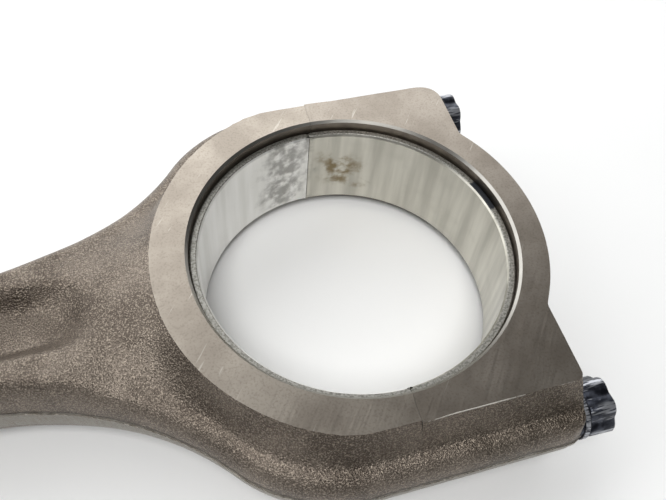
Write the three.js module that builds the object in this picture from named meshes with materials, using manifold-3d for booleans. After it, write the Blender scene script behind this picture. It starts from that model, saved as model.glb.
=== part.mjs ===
// Connecting rod of a car engine, lying on its side: forged rod and fracture-split cap, two
// plain-bearing shells round the crankpin bore, two cap bolts and the piston-pin bush.
// Millimetres. +X runs from the small end to the cap, +Y across the two bolts, +Z along the bores.
import * as THREE from 'three';
import { mergeVertices } from 'three/addons/utils/BufferGeometryUtils.js';
import Module from 'manifold-3d';

const wasm = await Module();
wasm.setup();

// Driving dimensions of the rod.
const CENTRES = 144; // crankpin bore axis to piston-pin bore axis
const THICKNESS = 21.6; // over the ground side faces of both ends
const HALF = THICKNESS / 2;
const CRANKPIN_R = 25;
const LINING_WALL = 0.3; // soft metal bonded inside each steel shell
const SHELL_WIDTH = 17.6;
const HOUSING_R = 26.5;
const PISTON_PIN_R = 11;
const BUSH_R = 12.5; // outer radius of the pressed bush
const BORE_CHAMFER = 0.5;
const FIT_GAP = 0.05; // radial room between pieces that would touch
const BOND_GAP = 0.02;
const PARTING_GAP = 0.06; // between rod and cap at the fracture plane

// Forged outline, measured at mid-thickness where the dies met.
const SIDE_Y = 37.2; // flat side of the big end, over the bolts
const SHANK_Y = 10.5; // half width of the shank where the flare starts
const NECK_Y = 7.6; // half width of the shank beside the small end
const FLARE_START = -64.4;
const FLARE_R = 50; // hollow curve from shank to shoulder
const FLARE_TURN = THREE.MathUtils.degToRad(50);
const EYE_R = 16.5;
const EYE_FILLET_R = 18;
const BOSS_END_X = 27; // end of each bolt boss on the cap
const CROWN_R = 32.8; // outside of the cap round the crankpin
const DRAFT = THREE.MathUtils.degToRad(6.5); // slope of the die-formed cap walls
const CORNER_BLEND = 2.2;
const BOSS_CORNER_R = 3;

// Forged section, half heights above mid-thickness.
const WALL_RUN = 2.3; // how far in from the outline the upright wall rounds over
const WALL_POWER = 2.8; // squareness of that rounding
const FLANGE = 8.1; // half thickness of the shank at its flanges
const BARREL = 5.1; // half thickness of the rounded shoulder over each bolt
const BARREL_FROM = -52; // the flanges sink to the barrel's height from here
const BARREL_TO = -28;
const FACE_R = 32.4; // edge of the ground face towards the shank
const FACE_Y = 31.2; // and along both sides
const FAR_CORNER = 4.5; // blend between the two straight edges of the cap's ground face at +Y
const NEAR_CORNER = 1.6; // and at -Y
const LAND_RUN = 9.6; // longest slope from the forged skin up to the ground face
const LAND_POWER = 1.55;
const STOCK = 1.5; // forged height above the face before grinding
const EYE_WALL_RUN = 2.6;

// The hollow that gives the shank its I section.
const POCKET_START = -40.8;
const POCKET_END = -119;
const POCKET_DEPTH = 3.3;
const POCKET_WALL = 3.9;
const POCKET_RAMP = 0.6; // how much gentler the slopes at its two ends are
const RIM = 3.8; // flange width left beside the hollow
const POCKET_CORNER = 4;

// Bolts.
const BOLT_Y = 32;
const THREAD_R = 3.95;
const WAIST_R = 3.4;
const TAP_R = 4.1;
const TAP_DEPTH = 11;
const DRILL_POINT = 2.4;
const CLEARANCE_R = 4.25;
const SEAT_X = 26.3; // spot-faced seat under the bolt head
const SEAT_R = 4.9;
const COLLAR_R = 4.6;
const COLLAR_HEIGHT = 1.1;
const STAR_R = 4.3; // mean radius of the six-lobed head
const LOBE = 0.4;
const LOBES = 6;
const STAR_HEIGHT = 4.4;
const BOLT_LENGTH = 36.4; // under the head
const WAIST_FROM = 12; // from the bolt's tip
const WAIST_TO = 26;

const BIG_END_X = (CENTRES + EYE_R - CROWN_R) / 2; // puts the origin mid-length

const ROUND = 96; // facets round the bores, shells and lathe-cut pieces
const HOLE_ROUND = 32;
const MARGIN = 1; // how far a cutter stands past the metal that it cuts

// Clamped ease from 0 to 1.
function ease(t) {
  const c = Math.min(1, Math.max(0, t));
  return c * c * (3 - 2 * c);
}

function smoothMin(a, b, width) {
  const h = Math.max(0, width - Math.abs(a - b)) / width;
  return Math.min(a, b) - (h * h * width) / 4;
}

function smoothMax(a, b, width) {
  return -smoothMin(-a, -b, width);
}

// Half width of the forging at mid-thickness, from the shank through the flare to the flat side.
function bigEndHalfWidth(x) {
  const flareEnd = FLARE_START + FLARE_R * Math.sin(FLARE_TURN);
  const flareEndY = SHANK_Y + FLARE_R * (1 - Math.cos(FLARE_TURN));
  const shoulderR = (SIDE_Y - flareEndY) / (1 - Math.cos(FLARE_TURN));
  const shoulderTop = flareEnd + shoulderR * Math.sin(FLARE_TURN);
  if (x < flareEnd) {
    return SHANK_Y + FLARE_R - Math.sqrt(FLARE_R ** 2 - (x - FLARE_START) ** 2);
  }
  if (x < shoulderTop) {
    return SIDE_Y - shoulderR + Math.sqrt(shoulderR ** 2 - (x - shoulderTop) ** 2);
  }
  return SIDE_Y;
}

// Half width from the taper of the shank to the round eye.
function smallEndHalfWidth(x) {
  const reach = EYE_R + EYE_FILLET_R;
  const filletY = NECK_Y + EYE_FILLET_R;
  const filletX = -CENTRES + Math.sqrt(reach ** 2 - filletY ** 2);
  const touchX = -CENTRES + ((filletX + CENTRES) * EYE_R) / reach;
  if (x > filletX) {
    return THREE.MathUtils.mapLinear(x, filletX, FLARE_START, NECK_Y, SHANK_Y);
  }
  if (x > touchX) {
    return filletY - Math.sqrt(EYE_FILLET_R ** 2 - (x - filletX) ** 2);
  }
  return Math.sqrt(EYE_R ** 2 - (x + CENTRES) ** 2);
}

function rodHalfWidth(x) {
  return x > FLARE_START ? bigEndHalfWidth(x) : smallEndHalfWidth(x);
}

// Cosine of the outline's slope, which turns a distance across the rod into one square to its edge.
function rodSlopeCosine(x) {
  const step = 0.5;
  const rise = (rodHalfWidth(x + step) - rodHalfWidth(x - step)) / (2 * step);
  return 1 / Math.hypot(1, rise);
}

// Share of the full height that the die wall has at a distance inside the outline.
function wallShare(inside, run) {
  const t = Math.max(0, 1 - Math.max(0, inside) / run);
  return (1 - t ** WALL_POWER) ** (1 / WALL_POWER);
}

// Height of the forged skin inside its walls: flange or barrel, then the slope up to the ground face.
function skinLevel(x, y, inside) {
  const across = Math.abs(y);
  const sinking = ease((x - BARREL_FROM) / (BARREL_TO - BARREL_FROM)) * ease((across - 4) / 10);
  const base = THREE.MathUtils.lerp(FLANGE, BARREL, sinking);
  const outside = smoothMax(Math.hypot(x, y) - FACE_R, across - FACE_Y, 1);
  if (outside < 0) return Math.min(HALF + STOCK, HALF - outside);
  const reach = Math.min(LAND_RUN, outside + Math.max(0, inside - WALL_RUN));
  if (outside >= reach) return base;
  return base + (HALF - base) * (1 - outside / reach) ** LAND_POWER;
}

// Half width of the hollow in the shank.
function pocketHalfWidth(x) {
  return Math.min(SHANK_Y - RIM, rodHalfWidth(x) - RIM);
}

function pocketDepth(x, y) {
  const endwise = POCKET_RAMP * Math.min(POCKET_START - x, x - POCKET_END);
  const inside = smoothMin(endwise, pocketHalfWidth(x) - Math.abs(y), POCKET_CORNER);
  return POCKET_DEPTH * ease(inside / POCKET_WALL);
}

// Half height of the forged rod over a point of its plan, before the side faces are ground.
function rodHeight(x, y) {
  const inside = (rodHalfWidth(x) - Math.abs(y)) * rodSlopeCosine(x);
  return wallShare(inside, WALL_RUN) * skinLevel(x, y, inside) - pocketDepth(x, y);
}

// Distance inside the boss's end wall, whose corners with the flat sides are rounded.
function insideBossEnd(x, y) {
  const alongEnd = Math.max(0, Math.abs(y) - SIDE_Y + BOSS_CORNER_R);
  const pastCorner = Math.max(0, x - BOSS_END_X + BOSS_CORNER_R);
  if (alongEnd === 0 || pastCorner === 0) return BOSS_END_X - x;
  return BOSS_CORNER_R - Math.hypot(alongEnd, pastCorner);
}

// Half height of the forged cap: two bolt bosses joined to a crown round the crankpin.
function capHeight(x, y) {
  if (Math.abs(y) > SIDE_Y) return 0;
  const inside = SIDE_Y - Math.abs(y);
  const faceEnd = BOSS_END_X - HALF * Math.tan(DRAFT);
  const outside = smoothMax(Math.abs(y) - FACE_Y, x - faceEnd, y > 0 ? FAR_CORNER : NEAR_CORNER);
  const climb = Math.max(0, 1 - outside / (SIDE_Y - FACE_Y - WALL_RUN)) ** LAND_POWER;
  const side = wallShare(inside, WALL_RUN) * Math.min(HALF + STOCK, BARREL + (HALF - BARREL) * climb);
  const endWall = insideBossEnd(x, y) / Math.tan(DRAFT);
  const boss = smoothMin(side, endWall, CORNER_BLEND);
  const crown = (CROWN_R - Math.hypot(x, y)) / Math.tan(DRAFT);
  return smoothMax(boss, Math.min(crown, HALF + STOCK), CORNER_BLEND);
}

// Radius at which the cap's outline lies in a direction from the crankpin axis.
function capOutline(angle) {
  let inside = HOUSING_R;
  let outside = Math.hypot(BOSS_END_X, SIDE_Y) + MARGIN;
  for (let i = 0; i < 40; i += 1) {
    const middle = (inside + outside) / 2;
    if (capHeight(middle * Math.cos(angle), middle * Math.sin(angle)) > 0) inside = middle;
    else outside = middle;
  }
  return inside;
}

// Closed body through a row of rings with equal point counts, each end closed round its middle.
function skinRings(rings) {
  const count = rings[0].length;
  const points = rings.flat();
  const index = [];
  for (let r = 0; r + 1 < rings.length; r += 1) {
    for (let k = 0; k < count; k += 1) {
      const next = (k + 1) % count;
      const a = r * count + k;
      const b = r * count + next;
      index.push(a, b, a + count, b, b + count, a + count);
    }
  }
  for (const [ring, flip] of [[0, true], [rings.length - 1, false]]) {
    const middle = new THREE.Vector3();
    for (const p of rings[ring]) middle.add(p);
    points.push(middle.divideScalar(count));
    for (let k = 0; k < count; k += 1) {
      const a = ring * count + k;
      const b = ring * count + ((k + 1) % count);
      index.push(...(flip ? [b, a, points.length - 1] : [a, b, points.length - 1]));
    }
  }
  const geometry = new THREE.BufferGeometry().setFromPoints(points);
  geometry.setIndex(index);
  return geometry;
}

function toSolid(geometry) {
  const bare = geometry.clone();
  bare.deleteAttribute('normal');
  bare.deleteAttribute('uv');
  const merged = mergeVertices(bare, 1e-5);
  const vertProperties = new Float32Array(merged.attributes.position.array);
  const triVerts = new Uint32Array(merged.index.array);
  return new wasm.Manifold(new wasm.Mesh({ numProp: 3, vertProperties, triVerts }));
}

function toGeometry(solid) {
  const { vertProperties, triVerts } = solid.getMesh();
  const geometry = new THREE.BufferGeometry();
  geometry.setAttribute('position', new THREE.BufferAttribute(vertProperties, 3));
  geometry.setIndex(new THREE.BufferAttribute(triVerts, 1));
  geometry.computeVertexNormals();
  return geometry;
}

// Solid of revolution about the Z axis from [radius, height] pairs.
function turnedAboutZ(profile, facets = ROUND) {
  const points = profile.map(([radius, height]) => new THREE.Vector2(radius, height));
  return toSolid(new THREE.LatheGeometry(points, facets).rotateX(Math.PI / 2));
}

// Solid of revolution along +X from [radius, x] pairs, its axis at mid-thickness and the given y.
function turnedAlongX(profile, y) {
  const points = profile.map(([radius, height]) => new THREE.Vector2(radius, height));
  const geometry = new THREE.LatheGeometry(points, HOLE_ROUND).rotateZ(-Math.PI / 2);
  return toSolid(geometry.translate(0, y, 0));
}

function boxBetween(low, high) {
  const size = high.clone().sub(low);
  const centre = low.clone().add(high).divideScalar(2);
  return toSolid(new THREE.BoxGeometry(size.x, size.y, size.z).translate(centre.x, centre.y, centre.z));
}

// Everything between the two ground side faces.
function betweenSideFaces() {
  const span = CENTRES * 2;
  return boxBetween(new THREE.Vector3(-span, -span, -HALF), new THREE.Vector3(span, span, HALF));
}

// Cutter for a through bore with a chamfer at both mouths.
function boreCutter(radius) {
  const past = MARGIN + BORE_CHAMFER;
  const mouth = radius + past;
  const end = HALF + MARGIN;
  const land = HALF - BORE_CHAMFER;
  return turnedAboutZ([[0, -end], [mouth, -end], [radius, -land], [radius, land], [mouth, end], [0, end]]);
}

function crankpinHousing() {
  return boreCutter(HOUSING_R);
}

// Stations along the rod where its section is drawn: [from, to, steps] runs.
const ROD_RUNS = [
  [-CENTRES, POCKET_END, 7],
  [POCKET_END, POCKET_END + POCKET_CORNER, 4],
  [POCKET_END + POCKET_CORNER, FLARE_START, 4],
  [FLARE_START, POCKET_START - POCKET_CORNER, 5],
  [POCKET_START - POCKET_CORNER, POCKET_START, 4],
  [POCKET_START, -FACE_R, 3],
  [-FACE_R, -PARTING_GAP / 2, 8],
];

function rodStations() {
  const stations = [-CENTRES];
  for (const [from, to, steps] of ROD_RUNS) {
    for (let i = 1; i <= steps; i += 1) stations.push(THREE.MathUtils.lerp(from, to, i / steps));
  }
  return stations;
}

// Places across half the rod's section, from the outline in to the middle.
function rodColumns(x) {
  const edge = rodHalfWidth(x);
  const run = WALL_RUN / rodSlopeCosine(x);
  const wall = [0, 0.05, 0.2, 0.5, 1].map((part) => edge - part * Math.min(run, RIM));
  const rim = pocketHalfWidth(x);
  const inner = wall[wall.length - 1];
  const between = [0.06, 0.12, 0.2, 0.5].map((part) => THREE.MathUtils.lerp(inner, rim, part));
  const pocket = [1, 0.78, 0.5].map((part) => part * rim);
  return [...wall, ...between, ...pocket];
}

function rodRing(x) {
  const half = rodColumns(x);
  const across = [...half, 0, ...half.slice().reverse().map((y) => -y)];
  const top = across.map((y) => new THREE.Vector3(x, y, rodHeight(x, y)));
  const bottom = top.slice(1, -1).reverse().map((p) => new THREE.Vector3(p.x, p.y, -p.z));
  top[0].z = 0;
  top[top.length - 1].z = 0;
  return [...top, ...bottom];
}

// The round small end with its rounded forged wall.
function smallEndEye() {
  const wall = [];
  const steps = 5;
  for (let i = -steps; i <= steps; i += 1) {
    const height = (i / steps) * HALF;
    const rise = Math.abs(height) / (HALF + STOCK);
    wall.push([EYE_R - EYE_WALL_RUN * (1 - (1 - rise ** WALL_POWER) ** (1 / WALL_POWER)), height]);
  }
  return turnedAboutZ([[0, -HALF], ...wall, [0, HALF]], HOLE_ROUND * 2).translate(-CENTRES, 0, 0);
}

// Blind tapped hole in the rod's shoulder, its mouth at the parting plane.
function tappedHole(y) {
  const tip = -TAP_DEPTH - DRILL_POINT;
  return turnedAlongX([[0, tip], [TAP_R, -TAP_DEPTH], [TAP_R, MARGIN], [0, MARGIN]], y);
}

function rodForging() {
  let body = toSolid(skinRings(rodStations().map(rodRing)));
  body = body.add(smallEndEye()).intersect(betweenSideFaces()).subtract(crankpinHousing());
  body = body.subtract(boreCutter(BUSH_R + FIT_GAP).translate(-CENTRES, 0, 0));
  for (const side of [-1, 1]) body = body.subtract(tappedHole(side * BOLT_Y));
  return toGeometry(body);
}

// Section of the cap along one ray from the crankpin axis.
function capRing(angle) {
  const inner = HOUSING_R - MARGIN;
  const outer = capOutline(angle);
  const steps = 12;
  const top = [];
  for (let i = 0; i <= steps; i += 1) {
    const radius = outer - (outer - inner) * (1 - i / steps) ** 2;
    const x = radius * Math.cos(angle);
    const y = radius * Math.sin(angle);
    top.push(new THREE.Vector3(x, y, i === steps ? 0 : capHeight(x, y)));
  }
  const bottom = top.slice(0, -1).reverse().map((p) => new THREE.Vector3(p.x, p.y, -p.z));
  return [...top, ...bottom];
}

// Bolt hole through the cap with the spot-faced seat at its outer end.
function clearanceHole(y) {
  const past = BOSS_END_X + MARGIN;
  const profile = [[0, -MARGIN], [CLEARANCE_R, -MARGIN], [CLEARANCE_R, SEAT_X], [SEAT_R, SEAT_X]];
  return turnedAlongX([...profile, [SEAT_R, past], [0, past]], y);
}

function bigEndCap() {
  const rays = 88;
  const rings = [];
  for (let i = 0; i <= rays; i += 1) rings.push(capRing(Math.PI * (i / rays - 0.5)));
  const reach = SIDE_Y + MARGIN;
  const beyondParting = boxBetween(
    new THREE.Vector3(PARTING_GAP / 2, -reach, -HALF),
    new THREE.Vector3(reach, reach, HALF),
  );
  let body = toSolid(skinRings(rings)).intersect(beyondParting).subtract(crankpinHousing());
  for (const side of [-1, 1]) body = body.subtract(clearanceHole(side * BOLT_Y));
  return toGeometry(body);
}

// Half of a ring round the crankpin axis: side 1 is the cap's half, side -1 the rod's.
function halfRing(innerR, outerR, side) {
  const end = SHELL_WIDTH / 2;
  const ring = turnedAboutZ([[innerR, -end], [outerR, -end], [outerR, end], [innerR, end], [innerR, -end]]);
  const near = PARTING_GAP / 2;
  const far = outerR + MARGIN;
  const from = side > 0 ? near : -far;
  const to = side > 0 ? far : -near;
  return ring.intersect(boxBetween(new THREE.Vector3(from, -far, -far), new THREE.Vector3(to, far, far)));
}

function shellBack(side) {
  const outerR = HOUSING_R - FIT_GAP;
  return toGeometry(halfRing(CRANKPIN_R + LINING_WALL, outerR, side));
}

function shellLining(side) {
  return toGeometry(halfRing(CRANKPIN_R, CRANKPIN_R + LINING_WALL - BOND_GAP, side));
}

// Six-lobed outline of the bolt head.
function starShape() {
  const steps = LOBES * 8;
  const points = [];
  for (let i = 0; i < steps; i += 1) {
    const angle = (i / steps) * Math.PI * 2;
    const radius = STAR_R + LOBE * Math.cos(LOBES * angle);
    points.push(new THREE.Vector2(radius * Math.cos(angle), radius * Math.sin(angle)));
  }
  return new THREE.Shape(points);
}

function capBolt(y) {
  const head = SEAT_X + FIT_GAP;
  const tip = head - BOLT_LENGTH;
  const collarTop = head + COLLAR_HEIGHT;
  const body = turnedAlongX([
    [0, tip],
    [THREAD_R - 0.6, tip],
    [THREAD_R, tip + 0.8],
    [THREAD_R, tip + WAIST_FROM],
    [WAIST_R, tip + WAIST_FROM + 1],
    [WAIST_R, tip + WAIST_TO - 1],
    [THREAD_R, tip + WAIST_TO],
    [THREAD_R, head],
    [COLLAR_R, head],
    [COLLAR_R, collarTop],
    [0, collarTop],
  ], y);
  const overlap = 0.5;
  const star = new THREE.ExtrudeGeometry(starShape(), { depth: STAR_HEIGHT + overlap, bevelEnabled: false });
  star.rotateY(Math.PI / 2).translate(collarTop - overlap, y, 0);
  return toGeometry(body.add(toSolid(star)));
}

// Bush pressed into the small end, a little below its faces.
function smallEndBush() {
  const end = HALF - 0.3;
  const profile = [[PISTON_PIN_R, -end], [BUSH_R, -end], [BUSH_R, end], [PISTON_PIN_R, end], [PISTON_PIN_R, -end]];
  return toGeometry(turnedAboutZ(profile).translate(-CENTRES, 0, 0));
}

function finish(color, roughness, metalness) {
  return new THREE.MeshStandardMaterial({ color, roughness, metalness });
}

const forgedSteel = finish(0x776c62, 0.6, 0.7);
const capSteel = finish(0x84786c, 0.55, 0.7);
const shellSteel = finish(0x96938c, 0.45, 0.9);
const bearingAlloy = finish(0xbebcb4, 0.35, 0.9);
const blackenedSteel = finish(0x32343c, 0.4, 0.8);
const bronze = finish(0xb08d57, 0.4, 0.9);

const rod = new THREE.Group();
rod.position.set(BIG_END_X, 0, HALF);

function place(name, geometry, material) {
  const mesh = new THREE.Mesh(geometry, material.clone());
  mesh.name = name;
  rod.add(mesh);
}

place('rod_forging', rodForging(), forgedSteel);
place('big_end_cap', bigEndCap(), capSteel);
for (const [name, side] of [['rod', -1], ['cap', 1]]) {
  place(`${name}_shell_back`, shellBack(side), shellSteel);
  place(`${name}_shell_lining`, shellLining(side), bearingAlloy);
}
for (const [name, side] of [['left', 1], ['right', -1]]) {
  place(`cap_bolt_${name}`, capBolt(side * BOLT_Y), blackenedSteel);
}
place('small_end_bush', smallEndBush(), bronze);

const part = new THREE.Group();
part.add(rod);

export default part;
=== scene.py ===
"""Connecting rod of a car engine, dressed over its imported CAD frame.

Lengths are millimetres round the crankpin axis at mid-thickness until a mesh is placed, when
they become metres in the frame that the CAD model, the motion model and this scene share.
"""

import logging
import math
from abc import ABC, abstractmethod
from dataclasses import dataclass, field
from enum import Enum
from functools import partial, reduce

import bmesh
import bpy
import numpy as np
from mathutils import Matrix, Vector, noise

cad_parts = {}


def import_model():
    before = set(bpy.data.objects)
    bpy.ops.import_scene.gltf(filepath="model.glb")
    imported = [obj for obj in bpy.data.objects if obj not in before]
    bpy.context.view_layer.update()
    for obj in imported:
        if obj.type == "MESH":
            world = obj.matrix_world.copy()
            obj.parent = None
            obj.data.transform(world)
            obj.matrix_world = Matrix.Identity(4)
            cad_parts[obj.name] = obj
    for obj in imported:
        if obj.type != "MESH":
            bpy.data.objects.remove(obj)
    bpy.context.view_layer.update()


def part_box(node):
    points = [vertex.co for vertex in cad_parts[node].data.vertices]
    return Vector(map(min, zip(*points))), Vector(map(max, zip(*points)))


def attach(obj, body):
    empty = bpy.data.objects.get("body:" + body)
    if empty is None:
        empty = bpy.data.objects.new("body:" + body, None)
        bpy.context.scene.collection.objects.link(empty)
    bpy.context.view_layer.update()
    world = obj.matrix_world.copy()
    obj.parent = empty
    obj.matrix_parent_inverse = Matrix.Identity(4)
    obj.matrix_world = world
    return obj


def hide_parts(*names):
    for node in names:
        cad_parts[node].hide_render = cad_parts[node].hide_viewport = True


LOG = logging.getLogger("connecting_rod")
MM = 0.001  # metres in a millimetre
Array = np.ndarray
Socket = bpy.types.NodeSocket
Profile = list[tuple[float, float]]
Colour = tuple[float, float, float, float]


# ---------------------------------------------------------------- small mathematics


def ease(share: Array) -> Array:
    """Clamped smooth step, from 0 where the share is 0 to 1 where it is 1."""
    held = np.clip(share, 0.0, 1.0)
    return held * held * (3.0 - 2.0 * held)


def smooth_min(first: Array, second: Array, width: Array | float) -> Array:
    """Lower of two heights, blended where they differ by less than a width."""
    near = np.maximum(0.0, width - np.abs(first - second)) / width
    return np.minimum(first, second) - near * near * width / 4.0


def smooth_max(first: Array, second: Array, width: Array | float) -> Array:
    """Higher of two heights, blended where they differ by less than a width."""
    return -smooth_min(-first, -second, width)


def unevenness(points: Array, grain: float, seed: float) -> Array:
    """Repeatable smooth noise over points.

    Args:
        points: Positions, three numbers each along the last axis.
        grain: Size of one swelling, in the unit of the points.
        seed: Offset that picks another part of the noise.

    Returns:
        One value for each point, roughly from -1 to 1.
    """
    flat = points.reshape(-1, 3) / grain + seed
    values = [noise.noise(Vector(place)) for place in flat.tolist()]
    return np.array(values).reshape(points.shape[:-1])


def linear_colour(code: str) -> Colour:
    """Turn an sRGB hex value to the linear colour that shaders read.

    Args:
        code: Six hex digits.

    Returns:
        Linear red, green, blue and full alpha.
    """
    parts = [int(code[i : i + 2], 16) / 255.0 for i in (0, 2, 4)]
    red, green, blue = (c / 12.92 if c <= 0.04045 else ((c + 0.055) / 1.055) ** 2.4 for c in parts)
    return (red, green, blue, 1.0)


# ---------------------------------------------------------------- finishes


def add_node(
    tree: bpy.types.NodeTree,
    kind: str,
    settings: dict[str, object] | None = None,
    inputs: dict[str | int, object] | None = None,
    out: str | int = 0,
) -> Socket:
    """Add one shader node with its settings, values and links.

    Args:
        tree: Node tree that it joins.
        kind: Node class name without its ShaderNode prefix.
        settings: Node properties by name.
        inputs: Input values, or output sockets to link from, by socket name or number.
        out: Output socket to hand back, by name or number.

    Returns:
        The chosen output socket, or the node's first input where it has no output.
    """
    made = tree.nodes.new(f"ShaderNode{kind}")
    for name, value in (settings or {}).items():
        setattr(made, name, value)
    for key, value in (inputs or {}).items():
        if isinstance(value, Socket):
            tree.links.new(value, made.inputs[key])
        else:
            made.inputs[key].default_value = value
    return made.outputs[out] if len(made.outputs) else made.inputs[0]


class Canvas:
    """Node tree of one material while its finish is painted."""

    def __init__(self, name: str, axis: Vector) -> None:
        """Start an empty material.

        Args:
            name: Name of the material.
            axis: Point in the frame, in metres, that positions are measured from.
        """
        self.material = bpy.data.materials.new(name)
        self.material.use_nodes = True
        tree = self.material.node_tree
        tree.nodes.clear()
        self.add = partial(add_node, tree)
        held = self.add("TexCoord", out="Object")
        offset = self.add("VectorMath", {"operation": "SUBTRACT"}, {0: held, 1: axis})
        self.place = self.add("VectorMath", {"operation": "SCALE"}, {0: offset, "Scale": 1.0 / MM})

    def grain(
        self,
        size: float,
        detail: float = 2.0,
        stretch: tuple[float, float, float] = (1.0, 1.0, 1.0),
    ) -> Socket:
        """Cloudy pattern at a real size.

        Args:
            size: Width of one cloud in millimetres.
            detail: Number of finer layers.
            stretch: How many times longer the clouds are along X, Y and Z.

        Returns:
            Socket from 0 to 1.
        """
        scale = tuple(1.0 / (size * along) for along in stretch)
        scaled = self.add("VectorMath", {"operation": "MULTIPLY"}, {0: self.place, 1: scale})
        return self.add("TexNoise", {}, {"Vector": scaled, "Scale": 1.0, "Detail": detail})

    def part(self, letter: str) -> Socket:
        """One coordinate of the position, in millimetres, picked by its letter."""
        return self.add("SeparateXYZ", {}, {0: self.place}, out=letter)

    def sum_up(self, operation: str, first: object, second: object = 0.0) -> Socket:
        """Work one sum, called as the Math node calls it, on two values or sockets."""
        return self.add("Math", {"operation": operation}, {0: first, 1: second})

    def product(self, first: object, *others: object) -> Socket:
        """Multiply values or sockets together."""
        return reduce(partial(self.sum_up, "MULTIPLY"), others, first)

    def rise(self, value: Socket, low: float, high: float, top: float = 1.0) -> Socket:
        """Mask that eases from 0 to top as a value goes from low to high, in either direction."""
        settings = {"interpolation_type": "SMOOTHSTEP"}
        return self.add("MapRange", settings, {0: value, 1: low, 2: high, 3: 0.0, 4: top})

    def spread(self, share: Socket, first: float, second: float) -> Socket:
        """Value that goes evenly from first to second as a share goes from 0 to 1."""
        return self.add("MapRange", {}, {0: share, 3: first, 4: second})

    def blend(self, mask: object, *colours: object) -> Socket:
        """Mix two colours, each a hex code or a socket; the mask is the second one's share."""
        first, second = (linear_colour(c) if isinstance(c, str) else c for c in colours)
        return self.add("Mix", {"data_type": "RGBA"}, {0: mask, 6: first, 7: second}, out=2)

    def turn(self) -> Socket:
        """Angle round the axis in degrees, from +X towards +Y."""
        angle = self.sum_up("ARCTAN2", self.part("Y"), self.part("X"))
        return self.product(angle, 180.0 / math.pi)

    def dents(self, height: Socket, depth: float, under: Socket | None = None) -> Socket:
        """Relief that is too fine for the mesh.

        Args:
            height: Pattern from 0 to 1.
            depth: Depth in millimetres of the pattern's full range.
            under: Normal of a coarser relief below this one.

        Returns:
            Normal socket.
        """
        inputs = {"Height": height, "Distance": depth * MM, "Strength": 1.0}
        if under is not None:
            inputs["Normal"] = under
        return self.add("Bump", {}, inputs)

    def finish(self, colour: object, roughness: object, normal: Socket, metallic: object = 1.0) -> None:
        """Close the tree with its shader, from values or sockets."""
        inputs = {"Base Color": colour, "Roughness": roughness, "Normal": normal, "Metallic": metallic}
        self.add("OutputMaterial", {}, {"Surface": self.add("BsdfPrincipled", {}, inputs)})


class Finish(ABC):
    """One surface, as its real material and the way it was made."""

    @abstractmethod
    def paint(self, canvas: Canvas) -> None:
        """Draw the finish on an empty material."""

    def material(self, name: str, axis: Vector) -> bpy.types.Material:
        """Make the material.

        Args:
            name: Name of the material.
            axis: Point in metres that its pattern is measured from.

        Returns:
            The finished material.
        """
        canvas = Canvas(name, axis)
        self.paint(canvas)
        return canvas.material


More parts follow.
